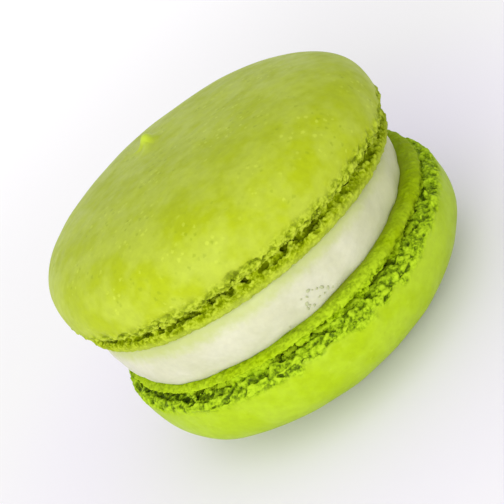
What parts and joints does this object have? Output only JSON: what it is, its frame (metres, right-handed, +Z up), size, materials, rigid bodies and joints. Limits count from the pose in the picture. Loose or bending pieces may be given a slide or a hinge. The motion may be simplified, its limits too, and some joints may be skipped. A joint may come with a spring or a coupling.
{
  "type": "french macaron",
  "caption": "Round sandwich biscuit: a domed almond shell above and below, each with a ragged frilled foot, and a thick disc of pale cream between them.",
  "frame": {"origin": "on the table, under the middle of the macaron's outline", "axes": "+Z up through the crowns of both shells; -Y is the side where the filling is thickest"},
  "size_m": [0.0464, 0.0464, 0.0324],
  "materials": {
    "shell": "baked almond meringue, satin yellow-green skin over a crumbly foot",
    "filling": "smooth pale cream, soft sheen"
  },
  "bodies": {
    "root": {"shell_top": "shell", "shell_bottom": "shell", "filling": "filling"}
  },
  "joints": []
}
